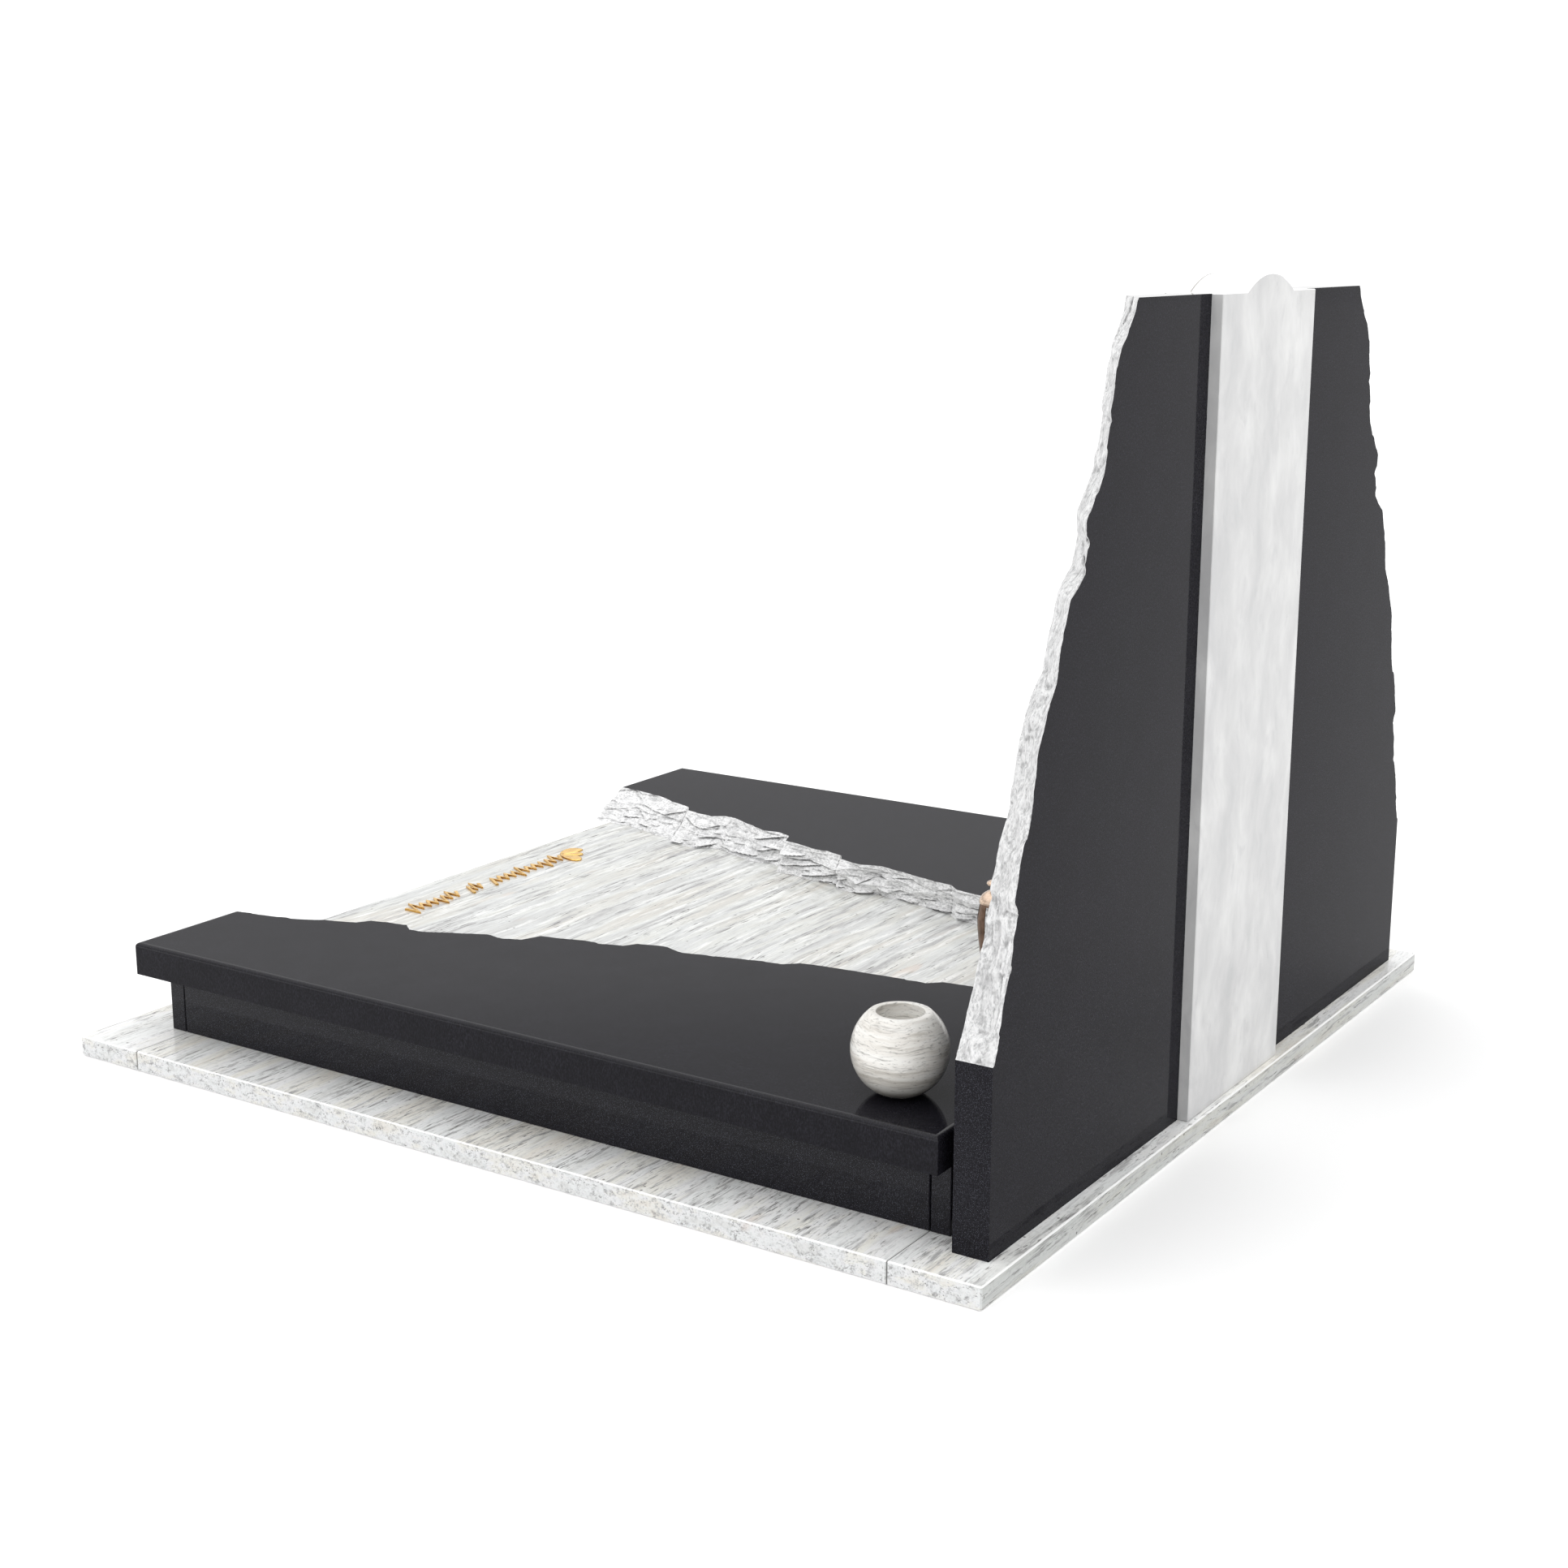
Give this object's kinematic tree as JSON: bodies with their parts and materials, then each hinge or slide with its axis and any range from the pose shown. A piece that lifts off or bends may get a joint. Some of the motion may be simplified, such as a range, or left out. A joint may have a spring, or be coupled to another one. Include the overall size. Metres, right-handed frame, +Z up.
{
  "type": "double grave monument",
  "caption": "Double grave monument: granite kerb, rock-pitched cover slabs over a pale slab, upright headstone of slabs, ball vase and lantern.",
  "frame": {"origin": "on the ground under the middle of the plinth", "axes": "+Z up; +Y from the foot of the graves to the headstone; +X across the two graves, towards the side with the vase"},
  "size_m": [2.44, 2.49, 1.8673],
  "materials": {
    "black_granite": "polished black granite, with light rock-pitched edges",
    "pale_granite": "polished pale granite with fine grey streaks",
    "white_marble": "honed white marble with soft grey veins",
    "bronze": "brown patinated bronze",
    "gilt_brass": "gilt satin brass"
  },
  "bodies": {
    "root": {"plinth_front": "pale_granite", "plinth_back": "pale_granite", "plinth_left": "pale_granite", "plinth_right": "pale_granite", "wall_front": "black_granite", "wall_back": "black_granite", "wall_left": "black_granite", "wall_right": "black_granite", "cover_left": "black_granite", "cover_right": "black_granite", "cover_middle": "pale_granite", "headstone_left": "black_granite", "headstone_right": "black_granite", "headstone_center": "white_marble", "vase": "pale_granite", "lantern_body": "bronze", "lantern_lid": "bronze", "inscription_sprig": "gilt_brass", "inscription_long": "gilt_brass", "inscription_short": "gilt_brass", "inscription_end": "gilt_brass"}
  },
  "joints": []
}
